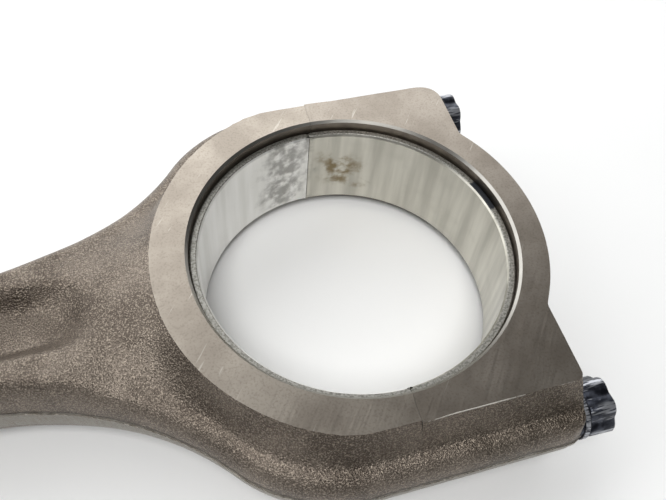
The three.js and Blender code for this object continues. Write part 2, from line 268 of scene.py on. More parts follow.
@dataclass(frozen=True)
class ShotBlastedForging(Finish):
    """Forged steel cleaned with steel shot: a brown-grey skin whose packed craters glint, partly as painted
    pale speckle.
    """

    dark: str = "5A5149"
    mid: str = "7D7369"
    # pale speckle colour of the craters, partly the skin's own tone and partly painted glints
    light: str = "B3A797"
    sheared: str = "9A9890"
    seam: str = "3B352F"
    rim_glint: str = "E6E2DA"
    pit: str = "3A342E"
    crater: float = 0.24  # about the width of one shot mark
    crater_depth: float = 0.2
    drift: float = 9.0  # width of the slow clouds in the skin
    ragged: float = 1.6  # width of the waves along the edges of the sheared band
    ragged_height: float = 0.9
    streak: float = 0.5
    trim_top: float = 0.9  # upper edge of the band where the flash was sheared off
    trim_foot: float = -4.8
    face: float = 10.8  # level of the ground face, along whose upper rim glints are painted
    rim_glint_spacing: float = 5.5  # spacing of those painted glints
    rim_glint_strength: float = 0.0  # how bright the painted glints are
    wear_and_painted_light: float = 0.0  # strength of the painted light on the walls that face +X, the bolt bosses' end walls

    def paint(self, canvas: Canvas) -> None:
        """Draw the finish.

        Args:
            canvas: Empty material to draw it on.
        """
        crater = canvas.grain(self.crater)
        clouds = canvas.grain(self.drift, 4.0)
        colour = canvas.blend(canvas.rise(clouds, 0.3, 0.7), self.dark, self.mid)
        colour = canvas.blend(canvas.rise(crater, 0.5, 0.36, 0.45), colour, self.pit)
        # pale crater speckle: partly the skin's own grain tone, partly painted glints
        colour = canvas.blend(canvas.rise(crater, 0.5, 0.66, 0.5), colour, self.light)
        colour = self.sheared_band(canvas, colour)
        # painted light: walls that face +X are drawn in the pale sheared grey
        colour = canvas.blend(self.lit_end_walls(canvas), colour, self.sheared)
        # painted glints along the upper rim of the ground face
        colour = canvas.blend(self.painted_rim_glints(canvas), colour, self.rim_glint)
        normal = canvas.dents(crater, self.crater_depth)
        canvas.finish(colour, canvas.spread(clouds, 0.3, 0.42), normal, 0.9)

    def sheared_band(self, canvas: Canvas, skin: Socket) -> Socket:
        """Lay the streaked band of the trimmed flash, with a dark seam above it, over the skin.

        Args:
            canvas: Material being drawn.
            skin: Colour of the forged skin.

        Returns:
            Socket with the colour of both.
        """
        waves = canvas.product(canvas.grain(self.ragged, 3.0), self.ragged_height)
        level = canvas.sum_up("ADD", canvas.part("Z"), waves)
        above = canvas.rise(level, self.trim_top + 0.75, self.trim_top + 0.2)
        below = canvas.rise(level, self.trim_foot, self.trim_foot + 1.5)
        streaks = canvas.grain(self.streak, 3.0, (1.0, 1.0, 9.0))
        cut = canvas.blend(streaks, self.mid, self.sheared)
        colour = canvas.blend(canvas.product(above, below), skin, cut)
        away = canvas.sum_up("ABSOLUTE", canvas.sum_up("SUBTRACT", level, self.trim_top + 0.5))
        return canvas.blend(canvas.rise(away, 0.4, 0.1, 0.7), colour, self.seam)

    def lit_end_walls(self, canvas: Canvas) -> Socket:
        """Mask of the painted light on the walls that face +X, the cap's outer end."""
        facing = canvas.add("SeparateXYZ", {}, {0: canvas.add("NewGeometry", out="Normal")}, out="X")
        return canvas.rise(facing, 0.8, 0.93, self.wear_and_painted_light)

    def painted_rim_glints(self, canvas: Canvas) -> Socket:
        """Mask of the painted glints on the upper rim of the ground face, standing in for light caught by its
        edge.
        """
        rim = canvas.rise(canvas.part("Z"), self.face - 0.4, self.face - 0.08)
        return canvas.product(rim, canvas.rise(canvas.grain(self.rim_glint_spacing, 6.0), 0.5, 0.55, self.rim_glint_strength))


@dataclass(frozen=True)
class GroundFace(Finish):
    """Steel side face ground between two stones: bright and flat, with fine crossing lines."""

    dark: str = "9C9388"
    light: str = "B3AA9E"
    pore: str = "7B7268"
    scratch: str = "D5CFC5"
    line: float = 0.3  # real lines are some hundredths wide, drawn coarser so that they show
    line_depth: float = 0.004
    crossing_turn: float = 38.0  # degrees between the two sets of lines
    scratch_width: float = 0.55
    speck: float = 0.34
    drift: float = 7.0

    def paint(self, canvas: Canvas) -> None:
        """Draw the finish.

        Args:
            canvas: Empty material to draw it on.
        """
        lines = canvas.grain(self.line, 2.0, (1.0, 22.0, 1.0))
        speck = canvas.grain(self.speck, 3.0)
        clouds = canvas.grain(self.drift, 4.0)
        inputs = {0: canvas.place, "Angle": math.radians(self.crossing_turn)}
        canvas.place = canvas.add("VectorRotate", {"rotation_type": "Z_AXIS"}, inputs)
        crossing = canvas.grain(self.line, 2.0, (1.0, 30.0, 1.0))
        scratches = canvas.grain(self.scratch_width, 2.0, (1.0, 14.0, 1.0))
        colour = canvas.blend(canvas.rise(clouds, 0.3, 0.7), self.dark, self.light)
        colour = canvas.blend(canvas.rise(speck, 0.45, 0.75, 0.4), colour, self.pore)
        colour = canvas.blend(canvas.rise(scratches, 0.68, 0.76, 0.5), colour, self.scratch)
        normal = canvas.dents(lines, self.line_depth)
        normal = canvas.dents(crossing, self.line_depth, normal)
        canvas.finish(colour, canvas.spread(crossing, 0.25, 0.38), normal)


@dataclass(frozen=True)
class BoredSteel(Finish):
    """Steel cut with a boring bar: feed lines run round the hole and catch the light as rings."""

    # default dark and light, worn by the fine-bored housing: darker than bored steel, partly painted shade
    dark: str = "57504A"
    light: str = "8F877D"
    feed: float = 0.25  # spacing of the feed lines
    feed_depth: float = 0.006
    drift: float = 3.0
    roughness: float = 0.36

    def paint(self, canvas: Canvas) -> None:
        """Draw the finish.

        Args:
            canvas: Empty material to draw it on.
        """
        lines = canvas.grain(self.feed, 1.0, (40.0, 40.0, 1.0))
        colour = canvas.blend(canvas.grain(self.drift, 3.0), self.dark, self.light)
        canvas.finish(colour, self.roughness, canvas.dents(lines, self.feed_depth))


@dataclass(frozen=True)
class FracturedSteel(Finish):
    """Steel cracked apart in one blow: a grey granular face where each crystal flashes."""

    dark: str = "6F6E6C"
    light: str = "B2B0AC"
    crystal: float = 0.5
    crystal_depth: float = 0.12

    def paint(self, canvas: Canvas) -> None:
        """Draw the finish.

        Args:
            canvas: Empty material to draw it on.
        """
        inputs = {"Vector": canvas.place, "Scale": 1.0 / self.crystal}
        crystals = canvas.add("TexVoronoi", {}, inputs)
        colour = canvas.blend(crystals, self.dark, self.light)
        canvas.finish(colour, 0.42, canvas.dents(crystals, self.crystal_depth))


@dataclass(frozen=True)
class RolledShellSteel(Finish):
    """Cut edge and back of rolled steel strip: dull grey, pitted, dabbed once with marking paint."""

    dark: str = "7E7C75"
    light: str = "ABA9A2"
    mark: str = "14181F"
    marked: bool = False
    mark_from: float = 6.0  # degrees round from +X
    mark_to: float = 19.5
    mark_foot: float = 7.2  # the paint was dabbed on the upper rim only
    wobble: float = 1.2  # width of the waves in its ends
    wobble_turn: float = 6.0  # degrees that they swing
    pit: float = 0.35
    pit_depth: float = 0.03

    def paint(self, canvas: Canvas) -> None:
        """Draw the finish.

        Args:
            canvas: Empty material to draw it on.
        """
        pits = canvas.grain(self.pit, 3.0)
        colour = canvas.blend(canvas.rise(pits, 0.36, 0.62), self.dark, self.light)
        metallic = 0.9
        if self.marked:
            dab = self.dab(canvas)
            colour = canvas.blend(dab, colour, self.mark)
            metallic = canvas.spread(dab, metallic, 0.0)
        canvas.finish(colour, 0.45, canvas.dents(pits, self.pit_depth), metallic)

    def dab(self, canvas: Canvas) -> Socket:
        """Mask of the marking paint, with wandering ends.

        Args:
            canvas: Material being drawn.

        Returns:
            Mask socket.
        """
        wobble = canvas.product(canvas.grain(self.wobble, 3.0), self.wobble_turn)
        angle = canvas.sum_up("ADD", canvas.turn(), wobble)
        start = canvas.rise(angle, self.mark_from + 1.1, self.mark_from + 2.5)
        stop = canvas.rise(angle, self.mark_to + 3.7, self.mark_to + 2.3)
        upper = canvas.rise(canvas.part("Z"), self.mark_foot, self.mark_foot + 0.8)
        return canvas.product(start, stop, upper)


@dataclass(frozen=True)
class BearingAlloy(Finish):
    """Aluminium-tin lining, bored then run in: silvery, streaked along, with oil stain and rub."""

    dark: str = "C2C0B9"
    light: str = "E2E0DA"
    stain: str = "6E5C36"
    rub: str = "6E6B65"
    stain_span: tuple[float, float] = (66.0, 88.0)  # degrees round from +X
    stain_rise: tuple[float, float] = (-5.5, 4.2)
    rub_span: tuple[float, float] = (88.0, 116.0)
    rub_rise: tuple[float, float] = (-9.0, 15.0)
    blotch: float = 3.2  # width of the waves along a blotch's edges
    blotch_turn: float = 24.0  # degrees that they swing round the bore
    blotch_rise: float = 8.0
    scuff: float = 1.7
    streak: float = 2.4
    ring: float = 0.35
    ring_depth: float = 0.004
    drift: float = 6.0
    metallic: float = 0.92  # the rest is dull oxide

    def patch(self, canvas: Canvas, span: tuple[float, float], heights: tuple[float, float]) -> Socket:
        """Blotch with ragged edges on the bore.

        Args:
            canvas: Material being drawn.
            span: Angles where it begins and ends, in degrees.
            heights: Its lowest and highest level.

        Returns:
            Mask socket.
        """
        (start, stop), (low, high) = span, heights
        ragged = canvas.sum_up("SUBTRACT", canvas.grain(self.blotch, 5.0), 0.5)
        angle = canvas.sum_up("ADD", canvas.turn(), canvas.product(ragged, self.blotch_turn))
        height = canvas.sum_up("ADD", canvas.part("Z"), canvas.product(ragged, self.blotch_rise))
        along = canvas.product(canvas.rise(angle, start, start + 9.0), canvas.rise(angle, stop, stop - 9.0))
        up = canvas.product(canvas.rise(height, low, low + 3.0), canvas.rise(height, high, high - 3.0))
        return canvas.product(along, up, canvas.rise(canvas.grain(self.scuff, 5.0), 0.3, 0.62))

    def paint(self, canvas: Canvas) -> None:
        """Draw the finish.

        Args:
            canvas: Empty material to draw it on.
        """
        streaks = canvas.grain(self.streak, 3.0, (1.0, 1.0, 12.0))
        rings = canvas.grain(self.ring, 2.0, (30.0, 30.0, 1.0))
        clouds = canvas.grain(self.drift, 3.0)
        colour = canvas.blend(canvas.rise(streaks, 0.25, 0.75), self.dark, self.light)
        colour = canvas.blend(canvas.rise(clouds, 0.5, 0.8, 0.4), colour, self.dark)
        oil = canvas.product(self.patch(canvas, self.stain_span, self.stain_rise), 0.85)
        colour = canvas.blend(oil, colour, self.stain)
        worn = canvas.product(self.patch(canvas, self.rub_span, self.rub_rise), 0.7)
        colour = canvas.blend(worn, colour, self.rub)
        normal = canvas.dents(rings, self.ring_depth)
        canvas.finish(colour, canvas.spread(clouds, 0.24, 0.4), normal, self.metallic)


@dataclass(frozen=True)
class BlackOxide(Finish):
    """Hot-blackened alloy steel, handled with a spanner: blue-black with bright scratched corners."""

    black: str = "23252C"
    grey: str = "4C4F58"
    bare: str = "B9BBC0"
    crest: float = 4.35  # radius beyond which the spanner has rubbed the head
    drift: float = 1.2
    scratch: float = 0.35
    scratch_depth: float = 0.02

    def paint(self, canvas: Canvas) -> None:
        """Draw the finish.

        Args:
            canvas: Empty material to draw it on.
        """
        clouds = canvas.grain(self.drift, 4.0)
        scratches = canvas.grain(self.scratch, 2.0, (7.0, 1.0, 1.0))
        flat = canvas.add("VectorMath", {"operation": "MULTIPLY"}, {0: canvas.place, 1: (0.0, 1.0, 1.0)})
        radius = canvas.add("VectorMath", {"operation": "LENGTH"}, {0: flat}, out="Value")
        wear_and_painted_light = canvas.rise(radius, self.crest, self.crest + 0.3)
        bare = canvas.product(wear_and_painted_light, canvas.rise(scratches, 0.42, 0.58))
        flecks = canvas.rise(scratches, 0.64, 0.72, 0.45)
        colour = canvas.blend(canvas.rise(clouds, 0.35, 0.7), self.black, self.grey)
        colour = canvas.blend(canvas.sum_up("MAXIMUM", bare, flecks), colour, self.bare)
        normal = canvas.dents(scratches, self.scratch_depth)
        canvas.finish(colour, canvas.spread(clouds, 0.28, 0.5), normal, 0.9)


@dataclass(frozen=True)
class ReamedBronze(Finish):
    """Rolled bronze bush, reamed to size: warm yellow metal with fine rings and brown tarnish."""

    warm: str = "C09A5E"
    tarnish: str = "7E5F38"
    ring: float = 0.25
    ring_depth: float = 0.005
    drift: float = 4.0

    def paint(self, canvas: Canvas) -> None:
        """Draw the finish.

        Args:
            canvas: Empty material to draw it on.
        """
        rings = canvas.grain(self.ring, 2.0, (30.0, 30.0, 1.0))
        mask = canvas.rise(canvas.grain(self.drift, 4.0), 0.4, 0.75, 0.8)
        colour = canvas.blend(mask, self.warm, self.tarnish)
        canvas.finish(colour, 0.3, canvas.dents(rings, self.ring_depth))


@dataclass(frozen=True)
class PaintedBoard(Finish):
    """Smooth white board under the object: pale, faintly clouded and slightly glossy."""

    pale: str = "F4F4F3"
    shade: str = "ECECEB"
    drift: float = 60.0
    dust: float = 0.9
    dust_depth: float = 0.002

    def paint(self, canvas: Canvas) -> None:
        """Draw the finish on an empty material."""
        colour = canvas.blend(canvas.grain(self.drift, 3.0), self.pale, self.shade)
        canvas.finish(colour, 0.35, canvas.dents(canvas.grain(self.dust), self.dust_depth), 0.0)


class Surface(Enum):
    """Every finish that the rod's pieces wear."""

    SHOT_BLASTED_ROD_STEEL = ShotBlastedForging()
    # the cap's skin has painted glints on its face rim and painted light on its walls that face +X
    SHOT_BLASTED_CAP_STEEL = ShotBlastedForging(dark="50483F", mid="786E64", rim_glint_strength=1.0, wear_and_painted_light=0.8)
    STONE_GROUND_ROD_STEEL = GroundFace()
    STONE_GROUND_CAP_STEEL = GroundFace(dark="958C81", light="ABA297")
    # darker than bored steel: partly its own tone, partly painted shade on the housing wall that shows above
    # the shells
    FINE_BORED_STEEL = BoredSteel()
    TURNED_CHAMFER_STEEL = BoredSteel(dark="96938D", light="BAB7B0", feed_depth=0.003, roughness=0.28)
    DRILLED_STEEL = BoredSteel(dark="4A4540", light="77706A", feed=0.2, feed_depth=0.02)
    FRACTURE_SPLIT_STEEL = FracturedSteel()
    ROLLED_STRIP_STEEL = RolledShellSteel()
    PAINT_MARKED_STRIP_STEEL = RolledShellSteel(marked=True)
    # lit and shaded copies of one lining alloy: the rod's half is painted near white and less metallic as
    # painted light, the cap's half darker as painted shade
    BORED_ALUMINIUM_TIN_ROD = BearingAlloy(dark="E2E1DC", light="F5F4F1", metallic=0.45)
    BORED_ALUMINIUM_TIN_CAP = BearingAlloy(dark="A9A69C", light="CBC8BD")
    HOT_BLACKENED_ALLOY_STEEL = BlackOxide()
    REAMED_BRONZE = ReamedBronze()
    PAINTED_WHITE_BOARD = PaintedBoard()


# ---------------------------------------------------------------- mesh work


class Work(Enum):
    """What a tool does to a blank."""

    CUT = "DIFFERENCE"
    KEEP = "INTERSECT"


@dataclass
class Datum:
    """Where the crankpin axis crosses mid-thickness, and what hangs on it."""

    origin: Vector  # metres, in the frame
    materials: dict[Surface, bpy.types.Material] = field(default_factory=dict)

    def dress(self, surface: Surface) -> bpy.types.Material:
        """Make the material of a surface the first time that it is asked for.

        Args:
            surface: The finish.

        Returns:
            Its material.
        """
        if surface not in self.materials:
            self.materials[surface] = surface.value.material(surface.name.lower(), self.origin)
        return self.materials[surface]

    def place(self, points: Array) -> Array:
        """Turn local millimetres to metres in the frame."""
        return points * MM + np.array(self.origin)

    def loft(
        self,
        name: str,
        rings: Array,
        surfaces: list[Surface],
        bands: Array | None = None,
        looped: bool = False,
    ) -> bpy.types.Object:
        """Closed body through rings with equal point counts.

        Args:
            name: Name of the object.
            rings: Points as rings, points of a ring, coordinates.
            surfaces: Finishes of the body, the first of which covers its ends.
            bands: Number of the finish between each ring and the next, or none for the first.
            looped: Whether the last ring joins the first.

        Returns:
            The body, in the frame.
        """
        count, size = rings.shape[:2]
        spans = count if looped else count - 1
        ring = np.arange(spans)[:, None]
        spoke = np.arange(size)[None, :]
        after = (ring + 1) % count
        turn = (spoke + 1) % size
        here, there = ring * size, after * size
        quads = np.stack([here + spoke, here + turn, there + turn, there + spoke], -1)
        faces = quads.reshape(-1, 4).tolist()
        marks = np.repeat(np.zeros(spans, int) if bands is None else np.asarray(bands), size).tolist()
        if not looped:
            faces += [list(range(size))[::-1], list(range((count - 1) * size, count * size))]
            marks += [0, 0]
        mesh = bpy.data.meshes.new(name)
        mesh.from_pydata(self.place(rings.reshape(-1, 3)).tolist(), [], faces)
        for surface in surfaces:
            mesh.materials.append(self.dress(surface))
        mesh.polygons.foreach_set("material_index", marks)
        mend(mesh)
        return put(name, mesh)


def put(name: str, data: bpy.types.ID) -> bpy.types.Object:
    """Make an object and link it into the scene.

    Args:
        name: Name of the object.
        data: Its mesh, lamp or camera.

    Returns:
        The object.
    """
    made = bpy.data.objects.new(name, data)
    bpy.context.scene.collection.objects.link(made)
    return made


def mend(mesh: bpy.types.Mesh) -> None:
    """Point every face of a closed mesh outwards.

    Args:
        mesh: Mesh to mend.
    """
    work = bmesh.new()
    work.from_mesh(mesh)
    bmesh.ops.recalc_face_normals(work, faces=work.faces)
    work.to_mesh(mesh)
    work.free()


def machine(blank: bpy.types.Object, tool: bpy.types.Object, work: Work) -> None:
    """Cut a blank with a tool, which leaves its own finish on the cut and is used up.

    Args:
        blank: Closed body to cut.
        tool: Closed body to cut with.
        work: Whether the metal inside the tool goes or stays.
    """
    change = blank.modifiers.new("machining", "BOOLEAN")
    change.object = tool
    change.solver = "MANIFOLD"
    change.operation = work.value
    change.material_mode = "TRANSFER"
    graph = bpy.context.evaluated_depsgraph_get()
    cut = bpy.data.meshes.new_from_object(blank.evaluated_get(graph), depsgraph=graph)
    blank.modifiers.clear()
    blank.data = cut
    bpy.data.objects.remove(tool)


def shade(piece: bpy.types.Object, sharp: float = 32.0) -> None:
    """Smooth the shading, except across sharp edges and between finishes.

    Args:
        piece: Finished body.
        sharp: Angle in degrees beyond which an edge stays sharp.
    """
    work = bmesh.new()
    work.from_mesh(piece.data)
    limit = math.radians(sharp)
    for face in work.faces:
        face.smooth = True
    for edge in work.edges:
        sides = edge.link_faces
        if len(sides) == 2:
            same = sides[0].material_index == sides[1].material_index
            edge.smooth = same and edge.calc_face_angle(0.0) < limit
    work.to_mesh(piece.data)
    work.free()


def circle(steps: int) -> Array:
    """Angles of evenly spaced points round a full turn."""
    return np.linspace(0.0, 2.0 * math.pi, steps, endpoint=False)


def mirrored(half: Profile) -> Profile:
    """Whole profile from its upper half, each corner a radius and a height."""
    return half + [(radius, -height) for radius, height in reversed(half)]


def rings_about_z(profile: Profile, steps: int, centre_x: float = 0.0) -> Array:
    """Rings round an upright axis.

    Args:
        profile: Radius and height of each ring.
        steps: Points in a ring.
        centre_x: Position of the axis along the rod.

    Returns:
        Rings for a loft.
    """
    angles = circle(steps)
    rings = []
    for radius, height in profile:
        x = centre_x + radius * np.cos(angles)
        rings.append(np.stack([x, radius * np.sin(angles), np.full(steps, height)], -1))
    return np.array(rings)


def rings_along_x(stations: Array, radii: Array, centre_y: float = 0.0) -> Array:
    """Rings round an axis that runs along the rod.

    Args:
        stations: Position of each ring.
        radii: Radius of each ring at each of its points.
        centre_y: Position of the axis across the rod.

    Returns:
        Rings for a loft.
    """
    angles = circle(radii.shape[1])
    along = np.repeat(stations[:, None], len(angles), 1)
    return np.stack([along, centre_y + radii * np.cos(angles), radii * np.sin(angles)], -1)


@dataclass(frozen=True)
class ScrewThread:
    """Metric thread drawn as a true helix."""

    pitch: float = 1.25
    steps: int = 8  # stations in one pitch
    points: int = 72

    def stations(self, start: float, stop: float) -> Array:
        """Positions of the rings from one end of the thread to the other."""
        return np.arange(start, stop, self.pitch / self.steps)

    def radii(self, stations: Array, root: float, crest: float) -> Array:
        """Radius at every point of every ring.

        Args:
            stations: Positions of the rings.
            root: Smallest radius.
            crest: Largest radius.

        Returns:
            Radii as stations by points, running out at both ends.
        """
        wound = stations[:, None] / self.pitch - circle(self.points)[None, :] / (2.0 * math.pi)
        flank = 1.0 - np.abs(2.0 * (wound % 1.0) - 1.0)
        share = np.clip(1.3 * flank - 0.1, 0.0, 1.0)
        ends = np.minimum(stations - stations[0], stations[-1] - stations) / self.pitch
        return root + (crest - root) * share * np.clip(ends, 0.0, 1.0)[:, None]


# ---------------------------------------------------------------- the forging


@dataclass(frozen=True)
class Dent:
    """Old dent in the forged skin."""

    x: float
    y: float
    radius: float
    depth: float
    ring: bool = False  # a struck ring, whose middle stands up again

    def depth_at(self, x: Array, y: Array) -> Array:
        """Depth of the dent under points of the plan.

        Args:
            x: Positions along the rod.
            y: Positions across it.

        Returns:
            Depths in millimetres.
        """
        away = np.hypot(x - self.x, y - self.y)
        if self.ring:
            return self.depth * np.exp(-(((away - self.radius) / (0.35 * self.radius)) ** 2))
        return self.depth * np.exp(-((away / self.radius) ** 2))


@dataclass(frozen=True)
class Section:
    """Heights that the dies give to rod and cap alike, in millimetres."""

    half: float = 10.8
    wall_run: float = 3.0  # how far in from the outline the upright wall rounds over
    wall_power: float = 2.3
    barrel: float = 5.1  # half thickness of the rounded shoulder over each bolt
    face_y: float = 31.2
    land_power: float = 1.55
    stock: float = 1.5
    proud: float = 0.22  # how far the trimmed flash stands out of the wall
    flash: float = 0.42  # half height of that flash
    swell: float = 0.09  # slow unevenness of the forged skin
    swell_grain: float = 7.0
    pebble: float = 0.035  # quick unevenness
    pebble_grain: float = 1.9

    def wall_share(self, inside: Array) -> Array:
        """Share of the full height at distances inside the outline."""
        left = np.clip(1.0 - np.maximum(0.0, inside) / self.wall_run, 0.0, 1.0)
        return (1.0 - left**self.wall_power) ** (1.0 / self.wall_power)

    def wall_insets(self, count: int) -> Array:
        """Distances inside the outline that divide the rounded wall evenly."""
        angles = np.radians(np.linspace(4.0, 90.0, count))
        return self.wall_run * (1.0 - np.cos(angles) ** (2.0 / self.wall_power))

    def worn(self, x: Array, y: Array, seed: float) -> Array:
        """Unevenness of the skin over points of the plan.

        Args:
            x: Positions along the rod.
            y: Positions across it.
            seed: Seed of the unevenness.

        Returns:
            Heights to add, in millimetres.
        """
        points = np.stack([x, y, np.zeros_like(x)], -1)
        slow = self.swell * unevenness(points, self.swell_grain, seed)
        return slow + self.pebble * unevenness(points, self.pebble_grain, seed + 31.7)

    def flash_level(self, ragged: Array) -> Array:
        """Half height of the trimmed flash where it is this ragged."""
        return self.flash * (0.6 + 0.5 * ragged)

    def trimmed(self, along: Array, seed: float) -> Array:
        """Raggedness of the trimmed flash.

        Args:
            along: Positions along it.
            seed: Seed of the raggedness.

        Returns:
            Shares from 0 to 1.
        """
        points = np.stack([along, np.zeros_like(along), np.zeros_like(along)], -1)
        ragged = unevenness(points, 2.3, seed) + 0.7 * unevenness(points, 0.9, seed + 5.0)
        return np.clip(0.55 + 0.6 * ragged, 0.0, 1.0)


@dataclass
class RodForging:
    """Forged rod from the small-end eye to the fracture plane."""

    section: Section = field(default_factory=Section)
    centres: float = 144.0
    side_y: float = 37.2
    shank_y: float = 10.5
    neck_y: float = 7.6
    flare_start: float = -64.4
    flare_r: float = 50.0
    flare_turn: float = math.radians(50.0)
    eye_r: float = 16.5
    eye_fillet_r: float = 18.0
    eye_land: float = 6.5  # width of the slope from the eye's face down to the shank
    flange: float = 8.1
    barrel_from: float = -52.0
    barrel_to: float = -28.0
    barrel_y: float = 4.0  # half width of the strip down the middle that stays at the flanges' height
    barrel_run: float = 10.0
    face_r: float = 32.4
    face_corner: float = 1.0  # blend between the ground face's round and straight edges
    land_run: float = 9.6
    pocket_start: float = -40.8
    pocket_end: float = -119.0
    pocket_depth: float = 3.3
    pocket_wall: float = 3.9
    pocket_ramp: float = 0.6  # how much gentler the slopes at its two ends are
    pocket_corner: float = 4.0
    rim: float = 3.8
    bush_r: float = 12.55
    far_side: float = 300.0  # how far off in the noise the flash at -Y is drawn from
    overrun: float = 0.6  # how far the forging reaches past the fracture plane
    eye_stations: int = 42
    shank_stations: int = 84
    flare_stations: int = 190
    wall_columns: int = 13
    field_columns: int = 92
    dents: tuple[Dent, ...] = (
        Dent(-26.0, -26.0, 1.0, 0.28, ring=True),
        Dent(-41.0, -13.6, 1.3, 0.3),
        Dent(-42.3, -12.6, 0.9, 0.22),
        Dent(-49.9, -8.6, 1.5, 0.35),
        Dent(-88.0, 6.0, 1.2, 0.2),
        Dent(-70.0, -7.0, 0.9, 0.22),
    )

    def half_width(self, x: Array) -> Array:
        """Half width of the outline where the dies met."""
        return np.where(x > self.flare_start, self.big_outline(x), self.small_outline(x))

    def big_outline(self, x: Array) -> Array:
        """Half width from the start of the flare to the big end's straight sides.

        Args:
            x: Positions along the rod.

        Returns:
            Half widths.
        """
        turn = self.flare_turn
        flare_end = self.flare_start + self.flare_r * math.sin(turn)
        flare_y = self.shank_y + self.flare_r * (1.0 - math.cos(turn))
        shoulder_r = (self.side_y - flare_y) / (1.0 - math.cos(turn))
        shoulder_x = flare_end + shoulder_r * math.sin(turn)
        filled = np.maximum(0.0, self.flare_r**2 - (x - self.flare_start) ** 2)
        flare = self.shank_y + self.flare_r - np.sqrt(filled)
        rounded = np.maximum(0.0, shoulder_r**2 - (x - shoulder_x) ** 2)
        shoulder = self.side_y - shoulder_r + np.sqrt(rounded)
        return np.where(x < flare_end, flare, np.where(x < shoulder_x, shoulder, self.side_y))

    def small_outline(self, x: Array) -> Array:
        """Half width of the eye, its neck and the tapered shank.

        Args:
            x: Positions along the rod.

        Returns:
            Half widths.
        """
        fillet_x, fillet_y = self.eye_fillet()
        slope = (self.shank_y - self.neck_y) / (self.flare_start - fillet_x)
        shank = self.neck_y + (x - fillet_x) * slope
        hollow = np.maximum(0.0, self.eye_fillet_r**2 - (x - fillet_x) ** 2)
        neck = fillet_y - np.sqrt(hollow)
        eye = np.sqrt(np.maximum(0.0, self.eye_r**2 - (x + self.centres) ** 2))
        return np.where(x > fillet_x, shank, np.where(x > self.eye_touch(), neck, eye))

    def eye_fillet(self) -> tuple[float, float]:
        """Find the hollow curve between shank and eye.

        Returns:
            Its centre along and across the rod.
        """
        fillet_y = self.neck_y + self.eye_fillet_r
        reach = self.eye_r + self.eye_fillet_r
        return -self.centres + math.sqrt(reach**2 - fillet_y**2), fillet_y

    def eye_touch(self) -> float:
        """Position where that curve meets the round of the eye."""
        fillet_x = self.eye_fillet()[0]
        return -self.centres + (fillet_x + self.centres) * self.eye_r / (self.eye_r + self.eye_fillet_r)

    def slope_cosine(self, x: Array) -> Array:
        """Cosine of the outline's slope.

        Args:
            x: Positions along the rod.

        Returns:
            Cosines.
        """
        step = 0.5
        rise = (self.half_width(x + step) - self.half_width(x - step)) / (2.0 * step)
        return 1.0 / np.hypot(1.0, rise)

    def inside(self, x: Array, y: Array) -> Array:
        """Distance square to the outline, measured from the wall's foot.

        Args:
            x: Positions along the rod.
            y: Positions across it.

        Returns:
            Distances in millimetres.
        """
        along = (self.half_width(x) - np.abs(y)) * self.slope_cosine(x)
        round_eye = self.eye_r - np.hypot(x + self.centres, y)
        return np.where(x < self.eye_touch(), round_eye, along) - self.section.proud

    def skin_level(self, x: Array, y: Array, inside: Array) -> Array:
        """Height of the forged skin inside its walls.

        Args:
            x: Positions along the rod.
            y: Positions across it.
            inside: Distances inside the outline.

        Returns:
            Half heights.
        """
        half = self.section.half
        across = np.abs(y)
        run = (x - self.barrel_from) / (self.barrel_to - self.barrel_from)
        sinking = ease(run) * ease((across - self.barrel_y) / self.barrel_run)
        base = self.flange + (self.section.barrel - self.flange) * sinking
        outside = smooth_max(np.hypot(x, y) - self.face_r, across - self.section.face_y, self.face_corner)
        room = outside + np.maximum(0.0, inside - self.section.wall_run)
        reach = np.maximum(1e-6, np.minimum(self.land_run, room))
        climb = np.clip(1.0 - outside / reach, 0.0, 1.0) ** self.section.land_power
        top = half + self.section.stock
        big = np.where(outside < 0.0, np.minimum(top, half - outside), base + (half - base) * climb)
        radius = np.hypot(x + self.centres, y)
        down = ease((radius - self.eye_r + self.section.wall_run) / self.eye_land)
        small = base + (top - base) * (1.0 - down)
        return np.maximum(big, small)

    def pocket(self, x: Array, y: Array) -> Array:
        """Depth of the hollow that gives the shank its I section.

        Args:
            x: Positions along the rod.
            y: Positions across it.

        Returns:
            Depths in millimetres.
        """
        endwise = self.pocket_ramp * np.minimum(self.pocket_start - x, x - self.pocket_end)
        width = np.minimum(self.shank_y, self.half_width(x)) - self.rim
        inside = smooth_min(endwise, width - np.abs(y), self.pocket_corner)
        return self.pocket_depth * ease(inside / self.pocket_wall)

    def height(self, x: Array, y: Array, side: int) -> Array:
        """Half height of the forging over points of its plan.

        Args:
            x: Positions along the rod.
            y: Positions across it.
            side: 1 for the upper die, -1 for the lower one.

        Returns:
            Half heights, with the wear of that side.
        """
        inside = self.inside(x, y)
        share = self.section.wall_share(inside)
        high = share * self.skin_level(x, y, inside) - self.pocket(x, y)
        high = high + share * self.section.worn(x, y, seed=3.0 + 11.0 * side)
        if side > 0:
            high = high - sum(dent.depth_at(x, y) for dent in self.dents)
        return high

    def stations(self) -> Array:
        """Space the rings, packed where the shape turns quickly.

        Returns:
            Positions along the rod.
        """
        round_eye = np.radians(np.linspace(1.5, 90.0, self.eye_stations))
        eye = -self.centres - self.eye_r * np.cos(round_eye)
        shank = np.linspace(-self.centres, self.flare_start, self.shank_stations)[1:]
        flare = np.linspace(self.flare_start, self.overrun, self.flare_stations)[1:]
        return np.concatenate([eye, shank, flare])

    def rings(self) -> Array:
        """Carry the section along the rod, from the eye to just past the fracture plane.

        Returns:
            Rings for a loft.
        """
        x = self.stations()
        section = self.section
        outline = self.half_width(x)
        cosine = np.maximum(0.05, self.slope_cosine(x))
        insets = section.wall_insets(self.wall_columns)
